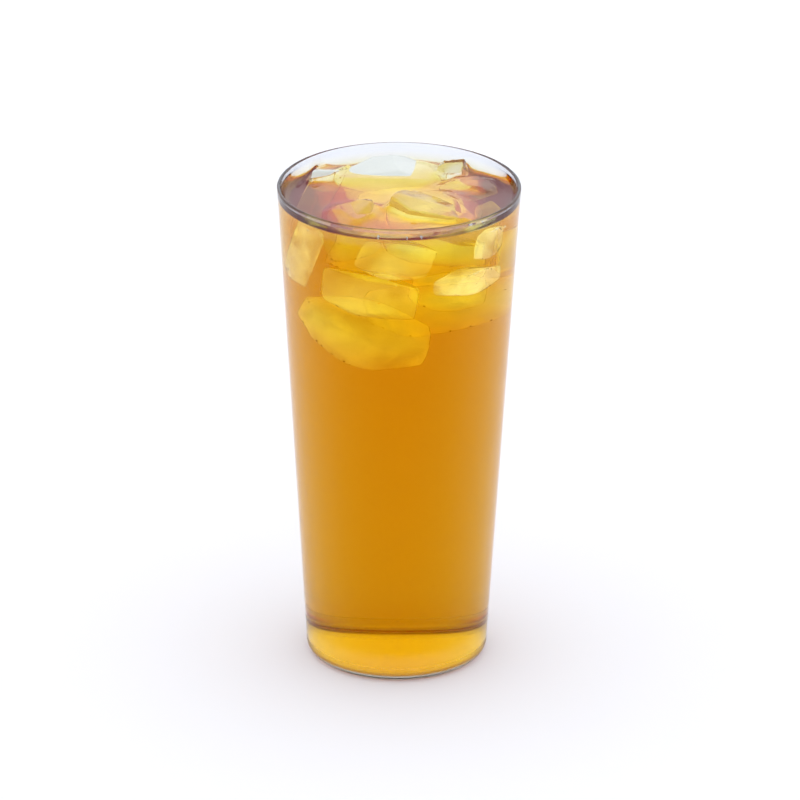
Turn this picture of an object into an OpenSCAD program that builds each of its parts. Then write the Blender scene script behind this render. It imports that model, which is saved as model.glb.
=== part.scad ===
// Tall tapered tumbler of iced tea.
// The thin-walled glass stands on the origin with +Z up and the drinker's side at -Y.
// Tea fills it to just under the rim, and chips of ice break its surface.

/* [Glass] */
// Height of the glass
glass_h = 153.5; // [90:0.5:200]
// Outer diameter where the wall meets the rim plane
rim_d = 74; // [60:0.5:100]
// Outer diameter where the wall line meets the table
base_d = 55.6; // [44:0.1:80]
// Thickness of the wall, square to its face
wall_t = 1.1; // [0.8:0.1:3]
// Thickness of the bottom
base_t = 2; // [1:0.1:10]
// Outer radius of the rounded foot
foot_r = 3.4; // [1:0.1:6]
// Inner radius between the bottom and the wall
bowl_r = 2.8; // [1:0.1:6]

/* [Tea] */
// Depth of the flat tea surface below the rim
headroom = 4.6; // [4.5:0.1:40]
// Height that the tea climbs the wall by surface tension
meniscus_h = 3.1; // [0.5:0.1:3.5]
// Distance from the wall in which the climb falls to a third
meniscus_run = 1.5; // [0.8:0.1:2.5]
// Distance from the wall where the surface is flat again
meniscus_w = 6; // [4:0.5:10]

/* [Fits] */
// Clearance between the tea and the glass
fit_gap = 0.05; // [0.02:0.01:0.2]
// Clearance between the ice and the tea or the next piece of ice
ice_gap = 0.05; // [0.02:0.01:0.2]
// Smallest distance from the ice to the inside of the wall
ice_wall_gap = 0.6; // [0.3:0.1:3]

/* [Back slab of ice] */
// Width, depth and thickness before its corners are chipped off
back_slab_size = [34, 21, 9]; // [3:0.5:40]
// Centre, with the height counted from the tea surface
back_slab_at = [-2.5, 20.5, -2.4]; // [-30:0.1:30]
// Turns about X, Y and Z
back_slab_turn = [5, -4, 13]; // [-180:1:180]

/* [Left slab of ice] */
// Width, thickness and height before its corners are chipped off
left_slab_size = [19, 9, 30]; // [3:0.5:40]
// Centre, with the height counted from the tea surface
left_slab_at = [-24.5, 14.5, -12]; // [-30:0.1:30]
// Turns about X, Y and Z
left_slab_turn = [-9, 14, 50]; // [-180:1:180]

/* [Front block of ice] */
// Width, depth and height before its corners are chipped off
front_block_size = [27, 23, 16]; // [3:0.5:40]
// Centre, with the height counted from the tea surface
front_block_at = [10.5, -7.5, -5.8]; // [-30:0.1:30]
// Turns about X, Y and Z
front_block_turn = [-12, 6, -20]; // [-180:1:180]

/* [Small block of ice] */
// Width, depth and height before its corners are chipped off
small_block_size = [13, 16, 12]; // [3:0.5:40]
// Centre, with the height counted from the tea surface
small_block_at = [-13, -11.5, -4.7]; // [-30:0.1:30]
// Turns about X, Y and Z
small_block_turn = [11, -9, -36]; // [-180:1:180]

/* [Right slab of ice] */
// Width, depth and thickness before its corners are chipped off
right_slab_size = [17, 12, 7]; // [3:0.5:40]
// Centre, with the height counted from the tea surface
right_slab_at = [21, 10.5, -3]; // [-30:0.1:30]
// Turns about X, Y and Z
right_slab_turn = [5, -6, 12]; // [-180:1:180]

/* [Back shard of ice] */
// Thickness, depth and height before its corners are chipped off
shard_size = [7, 12, 14]; // [3:0.5:40]
// Centre, with the height counted from the tea surface
shard_at = [16, 24.5, -3]; // [-30:0.1:30]
// Turns about X, Y and Z
shard_turn = [20, 24, -40]; // [-180:1:180]

/* [Hidden] */
$fn = 96;

// Angle between the wall and the upright
taper = atan((rim_d - base_d) / 2 / glass_h);
// Height of the flat tea surface
tea_z = glass_h - headroom;
// The rim is a full round as thick as the wall
rim_r = wall_t / 2;
// Distance of the tea's side from the outer face of the glass
tea_inset = wall_t + fit_gap;
// Steps in a rounded corner, in the rim and along the meniscus
corner_steps = 10;
meniscus_steps = 12;

// The three boxes whose overlap is a chip of ice: turns, and the share of its size
CHIP_TURNS = [[0, 0, 0], [11, -8, 29], [-9, 13, -34]];
CHIP_SHARES = [1, 1.07, 1.12];

// Pieces of ice, in the order in which a later one makes room for those before it
BACK_SLAB = 0;
LEFT_SLAB = 1;
FRONT_BLOCK = 2;
SMALL_BLOCK = 3;
RIGHT_SLAB = 4;
SHARD = 5;
ICE_SIZES = [
    back_slab_size, left_slab_size, front_block_size, small_block_size, right_slab_size, shard_size
];
ICE_PLACES = [
    back_slab_at, left_slab_at, front_block_at, small_block_at, right_slab_at, shard_at
];
ICE_TURNS = [
    back_slab_turn, left_slab_turn, front_block_turn, small_block_turn, right_slab_turn, shard_turn
];

// Radius at height z of the wall's outer face moved inward by inset
function wall_x(z, inset) = base_d / 2 + z * tan(taper) - inset / cos(taper);

// Points of an arc about the centre c, both ends included
function arc(c, r, from, to, steps = corner_steps) = [
    for (i = [0:steps])
        let (a = from + (to - from) * i / steps)
            [c[0] + r * cos(a), c[1] + r * sin(a)]
];

// Quarter round between a floor at height z and the wall moved inward by inset
function floor_corner(z, inset, r) =
    arc([wall_x(z + r, inset + r), z + r], r, -90, -taper);

// Height of the tea above its flat surface, at a distance d from the wall
function climb(d) = let (rest = exp(-meniscus_w / meniscus_run))
    meniscus_h * (exp(-d / meniscus_run) - rest) / (1 - rest);

// Surface of the tea from the wall inward, with its points closer together at the wall
function meniscus() = [
    for (i = [0:meniscus_steps])
        let (d = meniscus_w * pow(i / meniscus_steps, 2), z = tea_z + climb(d))
            [wall_x(z, tea_inset) - d, z]
];

// Glass with a rounded foot, an even wall and a round rim
module glass() {
    rim_z = glass_h - rim_r;
    outside = floor_corner(0, 0, foot_r);
    rim = arc([wall_x(rim_z, rim_r), rim_z], rim_r, -taper, 180 - taper);
    inside = floor_corner(base_t, wall_t, bowl_r);
    inside_down = [for (i = [corner_steps:-1:0]) inside[i]];
    color("aliceblue", 0.3)
        rotate_extrude()
            polygon(concat([[0, 0]], outside, rim, inside_down, [[0, base_t]]));
}

// Space inside the glass, moved inward from its faces by gap
module bowl(gap) {
    corner = floor_corner(base_t + gap, wall_t + gap, bowl_r - gap);
    top = [[wall_x(glass_h, wall_t + gap), glass_h], [0, glass_h]];
    rotate_extrude()
        polygon(concat([[0, base_t + gap]], corner, top));
}

// Chip of ice number i, bigger by grow on every side
module chip(i, grow) {
    bare = 2 * [grow, grow, grow];
    translate([0, 0, tea_z] + ICE_PLACES[i])
        rotate(ICE_TURNS[i])
            intersection_for (k = [0:len(CHIP_TURNS) - 1])
                rotate(CHIP_TURNS[k])
                    cube(ICE_SIZES[i] * CHIP_SHARES[k] + bare, center = true);
}

// Chip of ice number i, kept off the wall and cut clear of the chips before it
module ice(i) {
    color("lightcyan", 0.7)
        difference() {
            intersection() {
                chip(i, 0);
                bowl(ice_wall_gap);
            }
            for (before = [0:1:i - 1])
                chip(before, ice_gap);
        }
}

// Tea with its meniscus, cut round every chip of ice
module tea() {
    corner = floor_corner(base_t + fit_gap, tea_inset, bowl_r - fit_gap);
    color("darkorange", 0.9)
        difference() {
            rotate_extrude()
                polygon(concat([[0, base_t + fit_gap]], corner, meniscus(), [[0, tea_z]]));
            for (i = [0:len(ICE_SIZES) - 1])
                intersection() {
                    chip(i, ice_gap);
                    bowl(ice_wall_gap - ice_gap);
                }
        }
}

module ice_back_slab() ice(BACK_SLAB);
module ice_left_slab() ice(LEFT_SLAB);
module ice_front_block() ice(FRONT_BLOCK);
module ice_small_block() ice(SMALL_BLOCK);
module ice_right_slab() ice(RIGHT_SLAB);
module ice_shard() ice(SHARD);

glass();
tea();
ice_back_slab();
ice_left_slab();
ice_front_block();
ice_small_block();
ice_right_slab();
ice_shard();
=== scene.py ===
"""Iced tea in a tall tapered tumbler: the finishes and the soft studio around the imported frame.

The glass is turned as a fine lathe form, the tea is one body of liquid that climbs the wall and
the ice, and the ice is chipped, melted smooth and sunk into the tea.
"""

import logging
import math
from dataclasses import dataclass, field
from enum import Enum
from typing import Any, Callable, Sequence

import bmesh
import bpy
import numpy as np
from mathutils import Euler, Matrix, Vector, noise
from mathutils.bvhtree import BVHTree


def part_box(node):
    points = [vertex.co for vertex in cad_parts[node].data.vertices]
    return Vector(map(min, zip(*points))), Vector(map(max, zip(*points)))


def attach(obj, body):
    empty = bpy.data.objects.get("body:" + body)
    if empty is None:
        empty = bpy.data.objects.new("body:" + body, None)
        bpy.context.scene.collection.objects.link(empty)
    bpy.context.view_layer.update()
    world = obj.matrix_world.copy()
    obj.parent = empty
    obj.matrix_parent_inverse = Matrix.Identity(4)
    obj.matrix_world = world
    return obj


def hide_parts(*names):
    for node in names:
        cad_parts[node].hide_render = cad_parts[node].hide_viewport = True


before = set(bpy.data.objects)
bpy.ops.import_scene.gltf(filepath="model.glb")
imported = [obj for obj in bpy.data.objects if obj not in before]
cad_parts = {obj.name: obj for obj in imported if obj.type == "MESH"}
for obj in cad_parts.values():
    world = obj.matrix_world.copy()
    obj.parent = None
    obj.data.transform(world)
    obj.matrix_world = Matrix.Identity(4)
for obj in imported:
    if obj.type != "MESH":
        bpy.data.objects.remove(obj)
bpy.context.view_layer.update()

LOG = logging.getLogger("iced_tea")
MM = 0.001
BODY = "root"
BEND = "bend"

Point = tuple[float, float]


def linear(hex_colour: str, alpha: float = 1.0) -> tuple[float, float, float, float]:
    """Turn an sRGB hex colour into the linear colour that shaders take.

    Args:
        hex_colour: Six hex digits, red first.
        alpha: Value of the fourth channel.

    Returns:
        Linear red, green, blue and alpha.
    """
    channels = [int(hex_colour[i : i + 2], 16) / 255 for i in (0, 2, 4)]
    bent = [c / 12.92 if c <= 0.04045 else ((c + 0.055) / 1.055) ** 2.4 for c in channels]
    return bent[0], bent[1], bent[2], alpha


def add_node(
    tree: bpy.types.NodeTree,
    kind: str,
    settings: dict[str, Any] | None = None,
    links: dict[str | int, bpy.types.NodeSocket] | None = None,
) -> bpy.types.Node:
    """Add one node to a tree, with its settings and the links into it.

    Args:
        tree: Tree that takes the node.
        kind: Blender's name of the node's type.
        settings: Values by name: a name the node has itself is set there, any other is an input.
        links: Output sockets of earlier nodes by the name or number of the input they feed.

    Returns:
        The new node.
    """
    node = tree.nodes.new(kind)
    for name, value in (settings or {}).items():
        if isinstance(name, str) and hasattr(node, name):
            setattr(node, name, value)
        else:
            node.inputs[name].default_value = value
    for name, socket in (links or {}).items():
        tree.links.new(socket, node.inputs[name])
    return node


def new_material(name: str) -> tuple[bpy.types.Material, bpy.types.NodeTree, bpy.types.Node]:
    """Make an empty node material.

    Args:
        name: Name of the material.

    Returns:
        The material, its tree and its output node.
    """
    material = bpy.data.materials.new(name)
    material.use_nodes = True
    tree = material.node_tree
    tree.nodes.clear()
    return material, tree, add_node(tree, "ShaderNodeOutputMaterial")


# ---------------------------------------------------------------- finishes


@dataclass(frozen=True)
class BlownSodaLimeGlass:
    """Soda-lime glass, machine blown and fire polished.

    Fire polishing leaves a skin with no grain at all, so the eye sees only clean edges; the mould
    chills the corner of the foot, which stays a little soft. A trace of iron makes the wall a cool
    grey against white, and deeper where the eye looks along the wall. The side wall's reflections
    are painted down to a twentieth by a dark specular tint, while the rim and the foot keep full
    reflections.
    """

    IOR = 1.52

    tint: str = "f0f4fa"
    # dark specular tint on the side wall: its reflections are painted down to this share
    painted_dim_wall_reflection: float = 0.05
    rim_zone: Point = (146.5 * MM, 149 * MM)
    foot_zone: Point = (6 * MM, 12 * MM)
    chill_zone: Point = (3 * MM, 6.5 * MM)
    depth_tint: str = "ced5da"
    depth_density: float = 12.0
    foot_chill: float = 0.42

    def ramp(self, tree: bpy.types.NodeTree, height: bpy.types.NodeSocket, span: Point,
             values: Point) -> bpy.types.NodeSocket:
        """Give a value that changes smoothly between two heights.

        Args:
            tree: The material's tree.
            height: Output that gives the height on the glass.
            span: Lower and upper height.
            values: Value below and above them.

        Returns:
            The output that gives the value.
        """
        share = add_node(tree, "ShaderNodeMapRange", {
            "interpolation_type": "SMOOTHSTEP", "From Min": span[0], "From Max": span[1],
            "To Min": values[0], "To Max": values[1],
        }, {"Value": height})
        return share.outputs["Result"]

    def build(self) -> bpy.types.Material:
        """Make the glass material.

        Returns:
            The material.
        """
        material, tree, out = new_material("blown_soda_lime_glass")
        bend = add_node(tree, "ShaderNodeAttribute", {"attribute_name": BEND})
        place = add_node(tree, "ShaderNodeTexCoord")
        split = add_node(tree, "ShaderNodeSeparateXYZ", None, {0: place.outputs["Object"]})
        # painted-down reflections: dark specular tint on the side wall, full reflections on the rim and
        # the foot
        rim = self.ramp(tree, split.outputs["Z"], self.rim_zone, (self.painted_dim_wall_reflection, 1.0))
        foot = self.ramp(tree, split.outputs["Z"], self.foot_zone, (1.0, 0.0))
        painted_reflection_tint = add_node(tree, "ShaderNodeMath", {"operation": "MAXIMUM"}, {0: rim, 1: foot})
        corner = add_node(tree, "ShaderNodeAttribute", {"attribute_name": Tumbler.CORNER})
        chill = self.ramp(tree, split.outputs["Z"], self.chill_zone, (self.foot_chill, 0.0))
        grain = add_node(tree, "ShaderNodeMath", {"operation": "MULTIPLY"},
                         {0: corner.outputs["Fac"], 1: chill})
        skin = add_node(tree, "ShaderNodeBsdfPrincipled", {
            "Base Color": linear(self.tint), "IOR": self.IOR, "Transmission Weight": 1.0,
        }, {
            "IOR": bend.outputs["Fac"], "Roughness": grain.outputs[0],
            "Specular Tint": painted_reflection_tint.outputs[0],
        })
        depth = add_node(tree, "ShaderNodeVolumeAbsorption", {
            "Color": linear(self.depth_tint), "Density": self.depth_density,
        })
        tree.links.new(skin.outputs[0], out.inputs["Surface"])
        tree.links.new(depth.outputs[0], out.inputs["Volume"])
        return material


@dataclass(frozen=True)
class BrewedTea:
    """Black tea, brewed, strained and chilled: a clear liquid with no grain.

    It takes out blue within a few millimetres and green over a few centimetres, so thin tea looks
    yellow and deep tea looks amber. The depth also gives off a faint red-brown painted glow, which
    stands in for the light that the haze of chilled tea would scatter; the tea is no lamp.
    """

    IOR = 1.333

    depth_colour: tuple[float, float, float, float] = (0.9615, 0.843, 0.0, 1.0)
    density: float = 130.0
    painted_haze_glow_colour: str = "ff4a10"
    painted_haze_glow: float = 1.5

    def build(self) -> bpy.types.Material:
        """Make the tea material.

        Returns:
            The material.
        """
        material, tree, out = new_material("brewed_tea")
        bend = add_node(tree, "ShaderNodeAttribute", {"attribute_name": BEND})
        skin = add_node(tree, "ShaderNodeBsdfPrincipled", {
            "Base Color": linear("ffffff"), "IOR": self.IOR, "Roughness": 0.0,
            "Transmission Weight": 1.0,
        }, {"IOR": bend.outputs["Fac"]})
        depth = add_node(tree, "ShaderNodeVolumeAbsorption", {
            "Color": self.depth_colour, "Density": self.density,
        })
        # painted glow: an emission in the tea's depth stands in for light scattered by its haze
        painted_haze_glow = add_node(tree, "ShaderNodeEmission", {
            "Color": linear(self.painted_haze_glow_colour), "Strength": self.painted_haze_glow,
        })
        body = add_node(tree, "ShaderNodeAddShader", None, {0: depth.outputs[0], 1: painted_haze_glow.outputs[0]})
        tree.links.new(skin.outputs[0], out.inputs["Surface"])
        tree.links.new(body.outputs[0], out.inputs["Volume"])
        return material


@dataclass(frozen=True)
class MeltingIce:
    """Clear ice from filtered water, broken from a slab and wet with melt.

    The melt fills every scratch, so the dry faces shine. Under the tea the faces nearly vanish.
    Fine air in the chips makes dry faces milky. Under the tea the chips give off a soft painted
    glow in clouds, which stands in for the light that the air would throw back to the eye from all round.
    """

    IOR = 1.31

    name: str
    cloud: float
    # strength of the painted glow on the faces under the tea
    painted_glow: float
    wet_cloud: float = 0.05
    painted_glow_colour: str = "f4f8b4"
    painted_glow_size: float = 9 * MM
    tint: str = "eef8f4"
    roughness: float = 0.03
    ripple_size: float = 2.5 * MM
    ripple_height: float = 0.12

    def build(self) -> bpy.types.Material:
        """Make the ice material.

        Returns:
            The material.
        """
        material, tree, out = new_material(self.name)
        place = add_node(tree, "ShaderNodeTexCoord")
        ripple = add_node(tree, "ShaderNodeTexNoise", {
            "Scale": 1 / self.ripple_size, "Detail": 2.0, "Roughness": 0.45,
        }, {"Vector": place.outputs["Object"]})
        bump = add_node(tree, "ShaderNodeBump", {
            "Strength": self.ripple_height, "Distance": 1 * MM,
        }, {"Height": ripple.outputs["Fac"]})
        height = add_node(tree, "ShaderNodeAttribute", {"attribute_name": IceChip.HEIGHT})
        dry = add_node(tree, "ShaderNodeMath", {"operation": "GREATER_THAN", 1: 0.0},
                       {0: height.outputs["Fac"]})
        bend = add_node(tree, "ShaderNodeMapRange", {"To Min": 1.0, "To Max": self.IOR},
                        {"Value": dry.outputs[0]})
        clear = add_node(tree, "ShaderNodeMapRange", {
            "To Min": 1.0 - self.wet_cloud, "To Max": 1.0 - self.cloud,
        }, {"Value": dry.outputs[0]})
        tint = add_node(tree, "ShaderNodeMix", {"data_type": "RGBA", 6: linear("ffffff"),
                        7: linear(self.tint)}, {0: dry.outputs[0]})
        # painted glow: noise clouds set where the faces under the tea give off light
        painted_glow_noise = add_node(tree, "ShaderNodeTexNoise", {
            "Scale": 1 / self.painted_glow_size, "Detail": 3.0, "Roughness": 0.5, "Distortion": 0.6,
        }, {"Vector": place.outputs["Object"]})
        painted_glow_clouds = add_node(tree, "ShaderNodeMapRange", {
            "interpolation_type": "SMOOTHSTEP", "From Min": 0.3, "From Max": 0.7,
            "To Min": 0.0, "To Max": 2.0 * self.painted_glow,
        }, {"Value": painted_glow_noise.outputs["Fac"]})
        wet = add_node(tree, "ShaderNodeMath", {"operation": "SUBTRACT", 0: 1.0}, {1: dry.outputs[0]})
        painted_glow = add_node(tree, "ShaderNodeMath", {"operation": "MULTIPLY"},
                        {0: wet.outputs[0], 1: painted_glow_clouds.outputs["Result"]})
        skin = add_node(tree, "ShaderNodeBsdfPrincipled", {
            "IOR": self.IOR, "Roughness": self.roughness,
            "Emission Color": linear(self.painted_glow_colour),
        }, {
            "Base Color": tint.outputs[2], "Emission Strength": painted_glow.outputs[0],
            "Normal": bump.outputs["Normal"], "IOR": bend.outputs["Result"],
            "Transmission Weight": clear.outputs["Result"],
        })
        tree.links.new(skin.outputs[0], out.inputs["Surface"])
        return material


@dataclass(frozen=True)
class TeaBubble:
    """A bubble of air in a film of tea: a bright bead, part white matt, a painted highlight in place of
    its glint.
    """

    ior: float = 1.333
    painted_glint: float = 0.45

    def build(self) -> bpy.types.Material:
        """Make the bubble material.

        Returns:
            The material.
        """
        material, tree, out = new_material("tea_bubble")
        skin = add_node(tree, "ShaderNodeBsdfPrincipled", {
            "Base Color": linear("ffffff"), "IOR": self.ior, "Roughness": 0.05,
            # painted highlight: the white matt share of the bead stands in for the glint a bubble catches
            "Transmission Weight": 1.0 - self.painted_glint,
        })
        tree.links.new(skin.outputs[0], out.inputs["Surface"])
        return material


@dataclass(frozen=True)
class MattPaper:
    """Seamless background paper, uncoated: an even white with no shine."""

    colour: str = "fafafa"

    def build(self) -> bpy.types.Material:
        """Make the paper material.

        Returns:
            The material.
        """
        material, tree, out = new_material("matt_paper")
        skin = add_node(tree, "ShaderNodeBsdfPrincipled", {
            "Base Color": linear(self.colour), "Roughness": 0.9, "Specular IOR Level": 0.1,
        })
        tree.links.new(skin.outputs[0], out.inputs["Surface"])
        return material


# ---------------------------------------------------------------- form


def arc(centre: Point, radius: float, start: float, end: float, steps: int) -> list[Point]:
    """Give the points of an arc in the profile's plane, both ends included.

    Args:
        centre: Distance from the axis and height of the arc's centre.
        radius: Radius of the arc.
        start: First angle in radians, from outward, turning up.
        end: Last angle in radians.
        steps: Number of equal steps.

    Returns:
        Points as distance from the axis and height.
    """
    angles = [start + (end - start) * i / steps for i in range(steps + 1)]
    return [(centre[0] + radius * math.cos(a), centre[1] + radius * math.sin(a)) for a in angles]


def stations(low: float, high: float, count: int) -> list[float]:
    """Give the inner dividing points of a range cut into equal steps."""
    return [low + (high - low) * i / count for i in range(1, count)]


@dataclass(frozen=True)
class TaperedWall:
    """The straight wall that the glass, its inside and the tea all follow."""

    base_radius: float
    taper: float

    @classmethod
    def of_glass(cls, base_radius: float, rim_round: float) -> "TaperedWall":
        """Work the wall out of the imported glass's box.

        Args:
            base_radius: Radius where the wall line meets the table.
            rim_round: Radius of the rounded rim.

        Returns:
            The wall's line.
        """
        low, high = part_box("glass")
        widest, height = (high.x - low.x) / 2, high.z
        taper = math.atan((widest - base_radius) / (height - rim_round))
        return cls(base_radius, taper)

    def radius(self, z: float, inset: float = 0.0) -> float:
        """Give the radius at height z of the wall's face moved inward by inset."""
        return self.base_radius + z * math.tan(self.taper) - inset / math.cos(self.taper)

    def floor_corner(self, z: float, inset: float, radius: float, steps: int) -> list[Point]:
        """Round the corner between a floor at height z and the face moved inward by inset."""
        centre = (self.radius(z + radius, inset + radius), z + radius)
        return arc(centre, radius, -math.pi / 2, -self.taper, steps)


def revolve(
    profile: Sequence[Point],
    segments: int,
    lift: Callable[[int, float, float], Point] | None = None,
) -> bpy.types.Mesh:
    """Turn a profile that starts and ends on the axis into a closed mesh.

    Args:
        profile: Points as distance from the axis and height, from the underside round to the top.
        segments: Number of steps round the axis.
        lift: Gives a ring point's new radius and height from its ring number and its place in x, y.

    Returns:
        The closed mesh.
    """
    rings = profile[1:-1]
    turn = 2 * math.pi * np.arange(segments) / segments
    cos, sin = np.cos(turn), np.sin(turn)
    vertices: list[tuple[float, float, float]] = [(0.0, 0.0, profile[0][1])]
    for number, (r, z) in enumerate(rings):
        for c, s in zip(cos, sin):
            here = lift(number, r * c, r * s) if lift else (r, z)
            vertices.append((here[0] * c, here[0] * s, here[1]))
    vertices.append((0.0, 0.0, profile[-1][1]))
    last = len(vertices) - 1
    faces: list[tuple[int, ...]] = []
    for j in range(segments):
        k = (j + 1) % segments
        faces.append((0, 1 + k, 1 + j))
        for i in range(len(rings) - 1):
            a = 1 + i * segments
            faces.append((a + j, a + k, a + segments + k, a + segments + j))
        a = 1 + (len(rings) - 1) * segments
        faces.append((a + j, a + k, last))
    mesh = bpy.data.meshes.new("lathe")
    mesh.from_pydata(vertices, [], faces)
    mesh.validate()
    return mesh


def show(name: str, mesh: bpy.types.Mesh, material: bpy.types.Material) -> bpy.types.Object:
    """Put a mesh in the scene, smooth shaded, with one material.

    Args:
        name: Name of the piece.
        mesh: Its mesh.
        material: Its finish.

    Returns:
        The piece.
    """
    mesh.name = name
    mesh.materials.clear()
    mesh.materials.append(material)
    mesh.shade_smooth()
    piece = bpy.data.objects.new(name, mesh)
    bpy.context.scene.collection.objects.link(piece)
    return piece


def write_faces(mesh: bpy.types.Mesh, name: str, value: Callable[[Vector], float]) -> None:
    """Write a named number on each face of a mesh.

    Args:
        mesh: Mesh to write on.
        name: Name of the number.
        value: Gives the number from a face's middle.
    """
    layer = mesh.attributes.new(name, "FLOAT", "FACE")
    layer.data.foreach_set("value", [value(face.center) for face in mesh.polygons])


def baked(piece: bpy.types.Object) -> bpy.types.Mesh:
    """Give a piece's mesh with its modifiers applied.

    Args:
        piece: The piece.

    Returns:
        A new mesh.
    """
    graph = bpy.context.evaluated_depsgraph_get()
    graph.update()
    return bpy.data.meshes.new_from_object(piece.evaluated_get(graph))


@dataclass
class Tumbler:
    """The blown tumbler: rounded foot, even tapered wall, round fire-polished rim."""

    CORNER = "foot_corner"

    material: bpy.types.Material
    shore: float
    base_radius: float = 27.8 * MM
    thickness: float = 1.1 * MM
    bottom: float = 2.0 * MM
    foot_radius: float = 3.4 * MM
    bowl_radius: float = 1.6 * MM
    segments: int = 256
    height: float = field(init=False)
    wall: TaperedWall = field(init=False)

    def __post_init__(self) -> None:
        """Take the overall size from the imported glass."""
        self.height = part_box("glass")[1].z
        self.wall = TaperedWall.of_glass(self.base_radius, self.thickness / 2)

    def profile(self) -> list[Point]:
        """Give the closed section of the glass, from the underside up, over the rim and down.

        Returns:
            Points as distance from the axis and height.
        """
        wall, rim = self.wall, self.thickness / 2
        foot = wall.floor_corner(0.0, 0.0, self.foot_radius, 14)
        bowl = wall.floor_corner(self.bottom, self.thickness, self.bowl_radius, 14)
        rim_z = self.height - rim
        outside = [(wall.radius(z), z) for z in stations(foot[-1][1], rim_z, 24)]
        lip = arc((wall.radius(rim_z, rim), rim_z), rim, -wall.taper, math.pi - wall.taper, 16)
        heights = [self.shore] + stations(self.shore, bowl[-1][1], 24)
        inside = [(wall.radius(z, self.thickness), z) for z in heights]
        flat = [(r, 0.0) for r in (6 * MM, 14 * MM, 20 * MM)]
        floor = [(r, self.bottom) for r in (20 * MM, 14 * MM, 6 * MM)]
        bottom, top = [(0.0, 0.0)], [(0.0, self.bottom)]
        return bottom + flat + foot + outside + lip + inside + bowl[::-1] + floor + top

    def bend(self, place: Vector) -> float:
        """Give how the glass bends light: less where the tea wets its inside.

        Args:
            place: Place on the glass.

        Returns:
            The ratio by which it bends light there.
        """
        inner = math.hypot(place.x, place.y) < self.wall.radius(place.z, self.thickness / 2)
        wet = inner and self.bottom / 2 < place.z < self.shore
        return BlownSodaLimeGlass.IOR / (BrewedTea.IOR if wet else 1.0)

    def corner(self, place: Vector) -> float:
        """Give 1 on the rounded corner of the foot, inside and out, and 0 on the flat floor."""
        reach = math.hypot(place.x, place.y)
        return float(place.z > 0.1 * MM and reach > self.base_radius - self.foot_radius - 1 * MM)

    def build(self) -> bpy.types.Object:
        """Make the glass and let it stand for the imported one.

        Returns:
            The glass.
        """
        piece = show("tumbler_glass", revolve(self.profile(), self.segments), self.material)
        write_faces(piece.data, BEND, self.bend)
        write_faces(piece.data, self.CORNER, self.corner)
        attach(piece, BODY)
        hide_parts("glass")
        return piece


class Chipping(Enum):
    """The three tilted boxes whose overlap is a broken chip: degrees turned, share of its size."""

    SLAB = ((0, 0, 0), 1.0)
    FIRST_BREAK = ((11, -8, 29), 1.07)
    SECOND_BREAK = ((-9, 13, -34), 1.12)


def chip_mesh(size: Vector) -> bpy.types.Mesh:
    """Break a block of ice: keep what lies inside all three tilted boxes.

    Args:
        size: Width, depth and height of the block before it breaks.

    Returns:
        The convex chip about the origin.
    """
    planes: list[tuple[Vector, float]] = []
    for cut in Chipping:
        turns, share = cut.value
        turn = Euler([math.radians(a) for a in turns]).to_matrix()
        for axis in range(3):
            normal = turn.col[axis]
            reach = size[axis] * share / 2
            planes += [(normal.copy(), reach), (-normal, reach)]
    normals = np.array([n[:] for n, _ in planes])
    reaches = np.array([d for _, d in planes])
    corners = []
    count = len(planes)
    for i in range(count):
        for j in range(i + 1, count):
            for k in range(j + 1, count):
                three = normals[[i, j, k]]
                if abs(np.linalg.det(three)) < 1e-3:
                    continue
                point = np.linalg.solve(three, reaches[[i, j, k]])
                if np.all(normals @ point <= reaches + 1e-9):
                    corners.append(point)
    form = bmesh.new()
    for point in corners:
        form.verts.new(point)
    bmesh.ops.remove_doubles(form, verts=form.verts, dist=0.01 * MM)
    bmesh.ops.convex_hull(form, input=form.verts)
    loose = [v for v in form.verts if not v.link_faces]
    bmesh.ops.delete(form, geom=loose, context="VERTS")
    mesh = bpy.data.meshes.new("chip")
    form.to_mesh(mesh)
    form.free()
    return mesh


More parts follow.
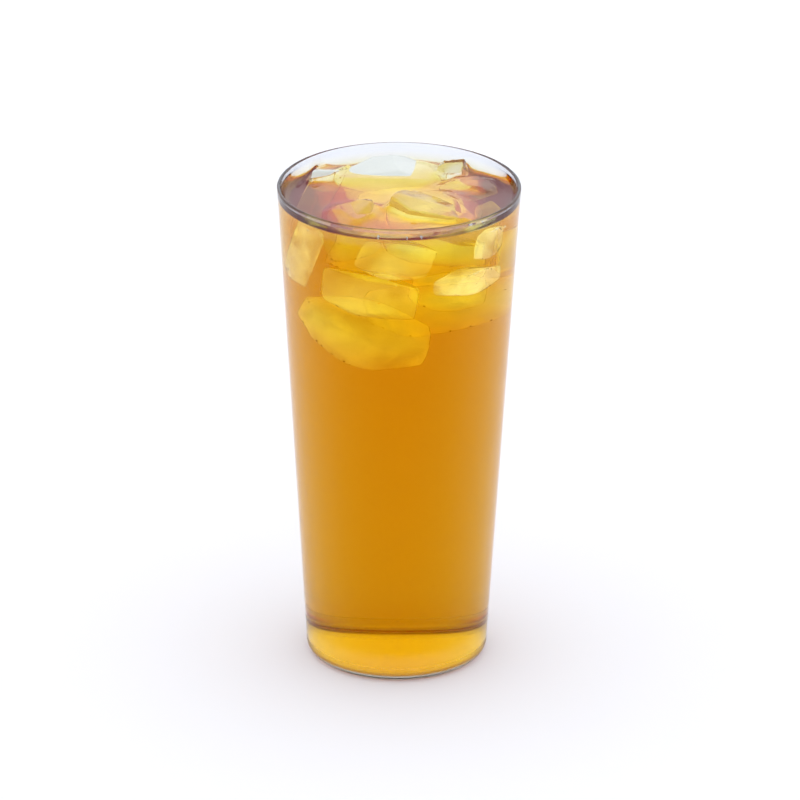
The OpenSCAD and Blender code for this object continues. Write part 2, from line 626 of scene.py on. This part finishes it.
@dataclass
class IceChip:
    """One chip of ice: a broken block whose edges have melted round."""

    HEIGHT = "height_over_tea"

    name: str
    material: bpy.types.Material
    node: str | None = None
    size: tuple[float, float, float] = (0.0, 0.0, 0.0)
    place: tuple[float, float, float] = (0.0, 0.0, 0.0)
    turns: tuple[float, float, float] = (0.0, 0.0, 0.0)
    voxel: float = 0.5 * MM
    melt_steps: int = 6
    swell: float = 0.22 * MM
    shrink: float = 0.14 * MM
    swell_size: float = 7 * MM
    seed: int = 0
    wall: TaperedWall | None = None
    wall_gap: float = 1.7 * MM
    piece: bpy.types.Object | None = None

    def rough_mesh(self) -> bpy.types.Mesh:
        """Give the chip before it melts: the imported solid, or a broken block set in its place.

        Returns:
            The chip's mesh.
        """
        if self.node is None:
            mesh = chip_mesh(Vector(self.size) * MM)
            turn = Euler([math.radians(a) for a in self.turns]).to_matrix().to_4x4()
            mesh.transform(Matrix.Translation(Vector(self.place) * MM) @ turn)
            return mesh
        form = bmesh.new()
        form.from_mesh(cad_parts[self.node].data)
        bmesh.ops.remove_doubles(form, verts=form.verts, dist=0.005 * MM)
        mesh = bpy.data.meshes.new(self.name)
        form.to_mesh(mesh)
        form.free()
        return mesh

    def build(self) -> bpy.types.Object:
        """Make the chip, melt its edges and swell its faces a little.

        Returns:
            The piece, riding with the glass.
        """
        self.piece = show(self.name, self.rough_mesh(), self.material)
        grid = self.piece.modifiers.new("grid", "REMESH")
        grid.mode = "VOXEL"
        grid.voxel_size = self.voxel
        melt = self.piece.modifiers.new("melt", "SMOOTH")
        melt.factor, melt.iterations = 0.5, self.melt_steps
        mesh = baked(self.piece)
        self.piece.modifiers.clear()
        shift = Vector((self.seed * 3.7, self.seed * 1.3, self.seed * 7.1))
        for vertex in mesh.vertices:
            wave = noise.noise(vertex.co / self.swell_size + shift)
            vertex.co += vertex.normal * (wave * self.swell - self.shrink)
            if self.wall is not None:
                self.keep_off_wall(vertex)
        mesh.materials.clear()
        mesh.materials.append(self.material)
        self.piece.data = mesh
        mesh.shade_smooth()
        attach(self.piece, BODY)
        if self.node is not None:
            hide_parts(self.node)
        return self.piece

    def keep_off_wall(self, vertex: bpy.types.MeshVertex) -> None:
        """Pull a point that would reach the wall straight in towards the axis.

        Args:
            vertex: The point.
        """
        reach = math.hypot(vertex.co.x, vertex.co.y)
        limit = self.wall.radius(vertex.co.z, self.wall_gap)
        if reach > limit:
            vertex.co.x *= limit / reach
            vertex.co.y *= limit / reach

    def tree(self) -> BVHTree:
        """Give a search tree of the chip's surface.

        Returns:
            The tree.
        """
        mesh = self.piece.data
        corners = [v.co.copy() for v in mesh.vertices]
        return BVHTree.FromPolygons(corners, [tuple(p.vertices) for p in mesh.polygons])


@dataclass
class TeaBody:
    """The tea: it fills the glass, climbs the wall and the ice, and gives way to the ice."""

    material: bpy.types.Material
    glass: Tumbler
    bite: float = 0.12 * MM
    wall_climb: float = 3.1 * MM
    wall_run: float = 0.8 * MM
    ice_climb: float = 1.2 * MM
    ice_run: float = 1.2 * MM
    top_step: float = 0.45 * MM
    segments: int = 360
    level: float = field(init=False)

    def __post_init__(self) -> None:
        """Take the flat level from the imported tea, whose box ends where it meets the wall."""
        self.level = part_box("tea")[1].z - self.wall_climb

    def surface(self, chips: Sequence[BVHTree]) -> Callable[[float, float], float]:
        """Give the function of the tea's height.

        Args:
            chips: Surfaces of the ice that comes through the tea.

        Returns:
            A function of x and y that gives the height of the tea there.
        """
        inner = self.glass.wall.radius(self.level + self.wall_climb, self.glass.thickness)

        def height(x: float, y: float) -> float:
            """Give the tea's height over one point of the table."""
            from_wall = max(0.0, inner - math.hypot(x, y))
            rise = self.wall_climb * math.exp(-from_wall / self.wall_run)
            point = Vector((x, y, self.level + 0.3 * MM))
            for chip in chips:
                found, normal, _, away = chip.find_nearest(point, 6 * MM)
                if found is None:
                    continue
                inside = (point - found).dot(normal) < 0
                rise += self.ice_climb * (1.0 if inside else math.exp(-away / self.ice_run))
            return self.level + min(rise, self.wall_climb)

        return height

    def build(self, ice: Sequence[IceChip]) -> bpy.types.Object:
        """Fill the glass, cut the tea round the ice and mark where it touches the ice.

        Args:
            ice: Every chip in the glass.

        Returns:
            The tea, riding with the glass.
        """
        wall, inset = self.glass.wall, self.glass.thickness - self.bite
        floor = self.glass.bottom - self.bite
        radius = self.glass.bowl_radius + self.bite
        corner = wall.floor_corner(floor, inset, radius, 14)
        floats = [chip.tree() for chip in ice if chip.node is not None]
        height = self.surface(floats)
        shore = self.level + self.wall_climb
        side = [(wall.radius(z, inset), z) for z in stations(corner[-1][1], shore, 30)]
        edge = wall.radius(shore, inset)
        count = int(edge / self.top_step)
        top = [(edge * (1 - i / count), shore) for i in range(count)]
        flat = [(r, floor) for r in (6 * MM, 14 * MM, 20 * MM)]
        rings = flat + corner + side
        profile = [(0.0, floor)] + rings + top + [(0.0, height(0.0, 0.0))]
        first_top = len(rings)
        section = profile[1:-1]

        def lift(number: int, x: float, y: float) -> Point:
            """Lay the rings of the top on the tea's surface and leave the rest."""
            r, z = section[number]
            return (r, z) if number < first_top else (r, height(x, y))

        piece = show("tea_body", revolve(profile, self.segments, lift), self.material)
        for chip in ice:
            cut = piece.modifiers.new(chip.name, "BOOLEAN")
            cut.operation, cut.solver, cut.object = "DIFFERENCE", "MANIFOLD", chip.piece
        mesh = baked(piece)
        piece.modifiers.clear()
        piece.data = mesh
        mesh.materials.clear()
        mesh.materials.append(self.material)
        mesh.shade_smooth()
        write_faces(mesh, BEND, self.bend([chip.tree() for chip in ice]))
        mesh.set_sharp_from_angle(angle=math.radians(35))
        self.part(ice, height)
        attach(piece, BODY)
        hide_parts("tea")
        return piece

    def bend(self, trees: Sequence[BVHTree]) -> Callable[[Vector], float]:
        """Give the function of how the tea bends light: against glass, the glass does it all.

        Args:
            trees: Surfaces of all the ice.

        Returns:
            A function that gives the ratio at a place on the tea.
        """
        wall, inset = self.glass.wall, self.glass.thickness - self.bite / 2

        def ratio(place: Vector) -> float:
            """Give the ratio for the side, the ice or the open surface."""
            side = math.hypot(place.x, place.y) > wall.radius(place.z, inset)
            if side or place.z < self.glass.bottom:
                return 1.0
            if any(tree.find_nearest(place, 0.02 * MM)[0] is not None for tree in trees):
                return BrewedTea.IOR / MeltingIce.IOR
            return BrewedTea.IOR

        return ratio

    def part(self, ice: Sequence[IceChip], height: Callable[[float, float], float]) -> None:
        """Draw each chip in from the tea by a hair and write its height over the tea on it.

        Args:
            ice: Every chip in the glass.
            height: Function of the tea's height.
        """
        hair = 0.02 * MM
        for chip in ice:
            mesh = chip.piece.data
            over = [(v.co.z - height(v.co.x, v.co.y)) / MM for v in mesh.vertices]
            inward = [v.normal * hair for v in mesh.vertices]
            for vertex, step in zip(mesh.vertices, inward):
                vertex.co -= step
            layer = mesh.attributes.new(IceChip.HEIGHT, "FLOAT", "POINT")
            layer.data.foreach_set("value", over)


def float_bubbles(material: bpy.types.Material, tea: TeaBody) -> bpy.types.Object:
    """Set a few small bubbles on the tea: three where it meets the front wall, two out on it.

    Args:
        material: Their finish.
        tea: The tea that carries them.

    Returns:
        The bubbles as one piece.
    """
    edge = tea.glass.wall.radius(tea.level + tea.wall_climb, tea.glass.thickness)
    spots = [(-100, 0.97, 0.42), (-86, 0.97, 0.34), (-79, 0.97, 0.38), (-47, 0.88, 0.55), (-39, 0.9, 0.4)]
    form = bmesh.new()
    for degrees, share, size in spots:
        radius = size * MM
        turn, reach = math.radians(degrees), min(edge * share, edge - radius)
        x, y = reach * math.cos(turn), reach * math.sin(turn)
        rise = tea.wall_climb * math.exp(-(edge - reach) / tea.wall_run)
        place = Matrix.Translation((x, y, tea.level + rise + 1.1 * radius))
        bmesh.ops.create_icosphere(form, subdivisions=3, radius=radius, matrix=place)
    mesh = bpy.data.meshes.new("bubbles")
    form.to_mesh(mesh)
    form.free()
    piece = show("surface_bubbles", mesh, material)
    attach(piece, BODY)
    return piece


# ---------------------------------------------------------------- studio


@dataclass
class Studio:
    """A pale paper floor, an overhead softbox, a soft white surround and the camera."""

    distance: float = 2.0
    elevation: float = 23.16
    roll: float = 0.312
    lens: float = 293.5
    aim_height: float = 82.8 * MM
    shift: float = 0.0026
    floor_side: float = 8.0
    softbox_side: float = 1.2
    softbox_height: float = 1.4
    softbox_power: float = 2.0
    horizon_light: float = 1.0
    band_light: float = 1.8
    zenith_light: float = 0.6

    def build(self) -> None:
        """Set up the floor, the light and the camera."""
        self.lay_floor()
        self.hang_softbox()
        self.light_surround()
        self.place_camera()
        scene = bpy.context.scene
        scene.view_settings.view_transform = "Standard"
        scene.view_settings.look = "None"
        scene.cycles.max_bounces = 32
        scene.cycles.transmission_bounces = 32
        scene.cycles.transparent_max_bounces = 32
        scene.cycles.sample_clamp_indirect = 4.0

    def lay_floor(self) -> None:
        """Lay the paper that the glass stands on."""
        half = self.floor_side / 2
        mesh = bpy.data.meshes.new("paper_floor")
        corners = [(-half, -half, 0), (half, -half, 0), (half, half, 0), (-half, half, 0)]
        mesh.from_pydata(corners, [], [(0, 1, 2, 3)])
        floor = show("paper_floor", mesh, MattPaper().build())
        floor.location.z = -0.02 * MM

    def hang_softbox(self) -> None:
        """Hang a square softbox over the glass, a little behind it."""
        lamp = bpy.data.lights.new("softbox", "AREA")
        lamp.size = self.softbox_side
        lamp.energy = self.softbox_power
        box = bpy.data.objects.new("softbox", lamp)
        box.location = (0.0, 0.25, self.softbox_height)
        bpy.context.scene.collection.objects.link(box)

    def light_surround(self) -> None:
        """Make the surround alike on every side: white low down, brightest a little higher."""
        world = bpy.data.worlds.new("surround")
        bpy.context.scene.world = world
        world.use_nodes = True
        tree = world.node_tree
        tree.nodes.clear()
        place = add_node(tree, "ShaderNodeTexCoord")
        split = add_node(tree, "ShaderNodeSeparateXYZ", None, {0: place.outputs["Generated"]})
        lower = add_node(tree, "ShaderNodeMapRange", {
            "interpolation_type": "SMOOTHSTEP", "From Min": 0.12, "From Max": 0.3,
            "To Min": self.horizon_light, "To Max": self.band_light,
        }, {"Value": split.outputs["Z"]})
        upper = add_node(tree, "ShaderNodeMapRange", {
            "interpolation_type": "SMOOTHSTEP", "From Min": 0.5, "From Max": 0.85,
            "To Min": 1.0, "To Max": self.zenith_light / self.band_light,
        }, {"Value": split.outputs["Z"]})
        strength = add_node(tree, "ShaderNodeMath", {"operation": "MULTIPLY"}, {
            0: lower.outputs["Result"], 1: upper.outputs["Result"],
        })
        sky = add_node(tree, "ShaderNodeBackground", {"Color": linear("f6f8ff")},
                       {"Strength": strength.outputs[0]})
        out = add_node(tree, "ShaderNodeOutputWorld")
        tree.links.new(sky.outputs[0], out.inputs["Surface"])

    def place_camera(self) -> None:
        """Stand the camera in front of the glass, looking down on it with a long lens."""
        camera = bpy.data.cameras.new("camera")
        camera.lens = self.lens
        camera.shift_x = self.shift
        camera.clip_start, camera.clip_end = 0.1, 20.0
        holder = bpy.data.objects.new("camera", camera)
        rise = math.radians(self.elevation)
        back = Vector((0.0, -math.cos(rise), math.sin(rise)))
        holder.location = Vector((0.0, 0.0, self.aim_height)) + back * self.distance
        look = back.to_track_quat("Z", "Y").to_matrix()
        holder.rotation_euler = (look @ Matrix.Rotation(math.radians(self.roll), 3, "Z")).to_euler()
        bpy.context.scene.collection.objects.link(holder)
        bpy.context.scene.camera = holder


def floating_ice(clear: bpy.types.Material, cloudy: bpy.types.Material) -> list[IceChip]:
    """List the chips that break the surface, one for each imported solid.

    Args:
        clear: Finish of the blocks.
        cloudy: Finish of the slabs.

    Returns:
        The chips, not yet built.
    """
    nodes = [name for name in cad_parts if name.startswith("ice_")]
    return [
        IceChip(f"melted_{node}", cloudy if node.endswith("slab") else clear, node=node, seed=number)
        for number, node in enumerate(nodes)
    ]


def sunk_ice(
    clear: bpy.types.Material, milky: bpy.types.Material, level: float, wall: TaperedWall
) -> list[IceChip]:
    """List the chips that lie wholly under the tea.

    Args:
        clear: Finish of the chips in the middle.
        milky: Finish of the chips with much air in them, by the wall, with a stronger painted glow.
        level: Height of the flat tea surface, from which theirs is counted.
        wall: The wall that they keep off.

    Returns:
        The chips, not yet built.
    """
    chips = [
        ("front", clear, (37, 11, 12), (-1, -27.5, -7.5), (-6, 4, 2)),
        ("right_front", milky, (22, 7, 9), (25.8, -19.8, -5.5), (-4, -5, 52)),
        ("right_low", milky, (26, 13, 8), (19.6, -21.8, -16.8), (-6, -4, 40)),
        ("middle", clear, (27, 17, 13), (-8, -20.5, -21), (-8, 6, -6)),
        ("low", clear, (34, 25, 13), (-9, -9, -37), (16, 13, 8)),
        ("back", clear, (30, 21, 14), (2, 14.5, -19), (-6, 5, 8)),
        ("right_back", clear, (9, 21, 13), (26.5, 2, -15), (-5, 4, -6)),
        ("left_front", milky, (20, 7, 21), (-26.5, -14, -11.5), (-4, 8, -62)),
        ("back_low", clear, (28, 19, 12), (8, 15, -35), (8, -6, -12)),
        ("centre", clear, (19, 13, 10), (12, -5.5, -24.5), (5, 6, 14)),
    ]
    drop = level / MM
    return [
        IceChip(
            f"sunk_ice_{name}", material, size=size, wall=wall, voxel=0.65 * MM, melt_steps=30,
            place=(at[0], at[1], at[2] + drop), turns=turns, seed=10 + number,
        )
        for number, (name, material, size, at, turns) in enumerate(chips)
    ]


def main() -> None:
    """Build the glass, the ice, the tea and the studio, and report each piece."""
    logging.basicConfig(level=logging.INFO, format="%(name)s: %(message)s")
    # Each ice finish's glow is a painted glow on its faces under the tea, standing in for light that air
    # in the chips would throw back; the milky chips glow most.
    block_ice = MeltingIce("clear_melting_ice", cloud=0.1, painted_glow=0.0, tint="dccfa0").build()
    sunk = MeltingIce("sunk_melting_ice", cloud=0.1, painted_glow=0.07, painted_glow_colour="eeea78").build()
    milky = MeltingIce("milky_melting_ice", cloud=0.3, painted_glow=0.12, wet_cloud=0.08).build()
    slab_ice = MeltingIce("white_melting_ice", cloud=0.95, painted_glow=0.02, tint="d8ddd7").build()
    tumbler = Tumbler(BlownSodaLimeGlass().build(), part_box("tea")[1].z)
    glass = tumbler.build()
    LOG.info("%s: %d faces", glass.name, len(glass.data.polygons))
    tea = TeaBody(BrewedTea().build(), tumbler)
    ice = floating_ice(block_ice, slab_ice) + sunk_ice(sunk, milky, tea.level, tumbler.wall)
    for chip in ice:
        chip.build()
        LOG.info("%s: %d faces", chip.name, len(chip.piece.data.polygons))
    body = tea.build(ice)
    LOG.info("%s: %d faces", body.name, len(body.data.polygons))
    bubbles = float_bubbles(TeaBubble().build(), tea)
    LOG.info("%s: %d faces", bubbles.name, len(bubbles.data.polygons))
    Studio().build()


if __name__ == "__main__":
    main()
